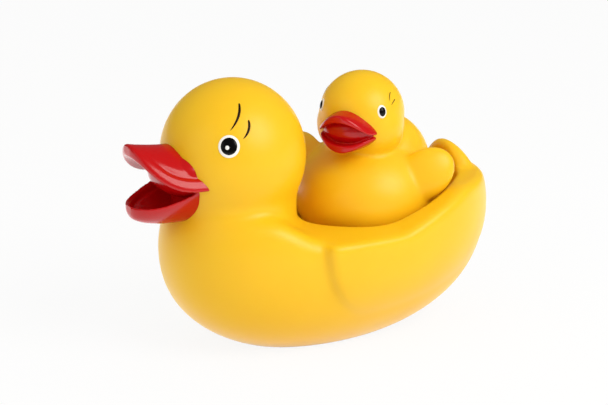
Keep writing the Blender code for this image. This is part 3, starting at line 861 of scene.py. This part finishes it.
ducklingPieces = [ducklingSkin, ducklingBill, *ducklingEyePieces, *ducklingBrowPieces]
motherPieces = [motherSkin, motherBill, *motherEyePieces, *motherBrowPieces]
seat = Vector((0, mother["nestBack"], mother["nestFloor"] + duckling["seatGap"]))
moveAll(ducklingPieces, Matrix.Translation(seat) @ Matrix.Rotation(math.radians(duckling["turn"]), 4, "Z"))
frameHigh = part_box("mother_duck")[1]
madeHigh = max(vert.co.y for vert in motherSkin.data.vertices)
moveAll(motherPieces + ducklingPieces, Matrix.Translation((0, frameHigh[1] - madeHigh, 0)))
for piece in motherPieces + ducklingPieces:
    piece.data.shade_smooth()
    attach(piece, "root")
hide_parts("mother_duck")
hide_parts("duckling")
print("pieces in the frame")

# Studio: a white floor, a large soft key from the right front, a weak fill from the left and a white room.
# Lamps stand aside of, nearer than and above the middle of the mother, in metres as the camera sees her.
studio = {
    "azimuth": 60.0,
    "elevation": 17.0,
    "distance": 0.85,
    "sensor": 36,
    "pixel": 0.393e-3,  # metres at the toy that one pixel of the photo shows
    "width": 608,
    "aside": -19,  # pixels from the middle of the mother's body to the picture's middle
    "above": 25,
    "keyPower": 5.1,
    "keyColour": (1.0, 0.98, 0.95),
    "keyPlace": (0.55, 0.45, 0.45),
    "fillPower": 0.6,
    "fillColour": (1.0, 1.0, 1.0),
    "fillPlace": (-0.60, 0.50, 0.20),
    "lampSize": 0.6,
    "room": 0.66,
    "roomShine": 0.14,
    "floor": "#F2F2F0",
    "floorSize": 6.0,
    "floorRoughness": 0.9,
    "floorGloss": 0.1,
    "floorShine": 1.6,
    "whiteness": 0.90,
}


def addLamp(name, power, size, place, aim, colour):
    lamp = bpy.data.lights.new(name, "AREA")
    lamp.energy = power
    lamp.shape = "DISK"
    lamp.size = size
    lamp.color = colour
    item = bpy.data.objects.new(name, lamp)
    item.location = place
    item.rotation_euler = (Vector(aim) - Vector(place)).to_track_quat("-Z", "Y").to_euler()
    bpy.context.scene.collection.objects.link(item)


def makeFloor(settings):
    # A white paper floor. The camera sees it mostly as bare white, with a trace of real light and shadow.
    # Glossy rays see it as bright as the overlit paper that shows on the underside of the toy.
    shape = bmesh.new()
    bmesh.ops.create_grid(shape, x_segments=1, y_segments=1, size=settings["floorSize"] / 2)
    material, tree, shader = newMaterial("whitePaperFloor")
    setSockets(tree, shader, {
        "Base Color": linearColour(settings["floor"]),
        "Roughness": settings["floorRoughness"],
        "Specular IOR Level": settings["floorGloss"],
    })
    seen = addNode(tree, "ShaderNodeLightPath")
    level = addNode(tree, "ShaderNodeMapRange", {
        "Value": seen.outputs["Is Glossy Ray"],
        "To Min": 1.0,
        "To Max": settings["floorShine"],
    })
    white = addNode(tree, "ShaderNodeEmission", {"Color": (1, 1, 1, 1), "Strength": level.outputs["Result"]})
    share = addNode(tree, "ShaderNodeMath", {
        0: seen.outputs["Is Camera Ray"],
        1: settings["whiteness"],
    }, operation="MULTIPLY")
    either = addNode(tree, "ShaderNodeMath", {
        0: share.outputs["Value"],
        1: seen.outputs["Is Glossy Ray"],
    }, operation="MAXIMUM")
    mix = addNode(tree, "ShaderNodeMixShader", {
        "Fac": either.outputs["Value"],
        1: shader.outputs["BSDF"],
        2: white.outputs["Emission"],
    })
    setSockets(tree, tree.nodes["Material Output"], {"Surface": mix.outputs["Shader"]})
    addObject("paperFloor", shape, material)


def makeRoom(settings):
    # An even room: bare white to the camera, darker to glossy rays, which keeps the shaded sides rich.
    room = bpy.data.worlds.new("whiteRoom")
    room.use_nodes = True
    tree = room.node_tree
    seen = addNode(tree, "ShaderNodeLightPath")
    lit = addNode(tree, "ShaderNodeMapRange", {
        "Value": seen.outputs["Is Glossy Ray"],
        "To Min": settings["room"],
        "To Max": settings["roomShine"],
    })
    shown = addNode(tree, "ShaderNodeMapRange", {
        "Value": seen.outputs["Is Camera Ray"],
        "To Min": lit.outputs["Result"],
        "To Max": 1.0,
    })
    setSockets(tree, tree.nodes["Background"], {"Color": (1, 1, 1, 1), "Strength": shown.outputs["Result"]})
    return room


def setUpStudio(settings):
    scene = bpy.context.scene
    azimuth, elevation = math.radians(settings["azimuth"]), math.radians(settings["elevation"])
    back = Vector((math.sin(azimuth) * math.cos(elevation), -math.cos(azimuth) * math.cos(elevation),
                   math.sin(elevation)))
    right = Vector((math.cos(azimuth), math.sin(azimuth), 0))
    up = back.cross(right)
    middle = Vector((0, frameHigh[1] - mother["bodyLength"] / 2, bodyCentre.z))
    target = middle + (right * settings["aside"] + up * settings["above"]) * settings["pixel"]
    lens = bpy.data.cameras.new("longLens")
    lens.sensor_width = settings["sensor"]
    lens.lens = settings["sensor"] * settings["distance"] / (settings["width"] * settings["pixel"])
    camera = bpy.data.objects.new("longLens", lens)
    camera.location = target + back * settings["distance"]
    camera.rotation_euler = (-back).to_track_quat("-Z", "Y").to_euler()
    scene.collection.objects.link(camera)
    scene.camera = camera
    for word in ("key", "fill"):
        aside, near, above = settings[word + "Place"]
        place = middle + back * near + right * aside + Vector((0, 0, above))
        power, colour = settings[word + "Power"], settings[word + "Colour"]
        addLamp(word + "Lamp", power, settings["lampSize"], place, middle, colour)
    scene.world = makeRoom(settings)
    scene.view_settings.view_transform = "Standard"


makeFloor(studio)
setUpStudio(studio)
print("studio ready")
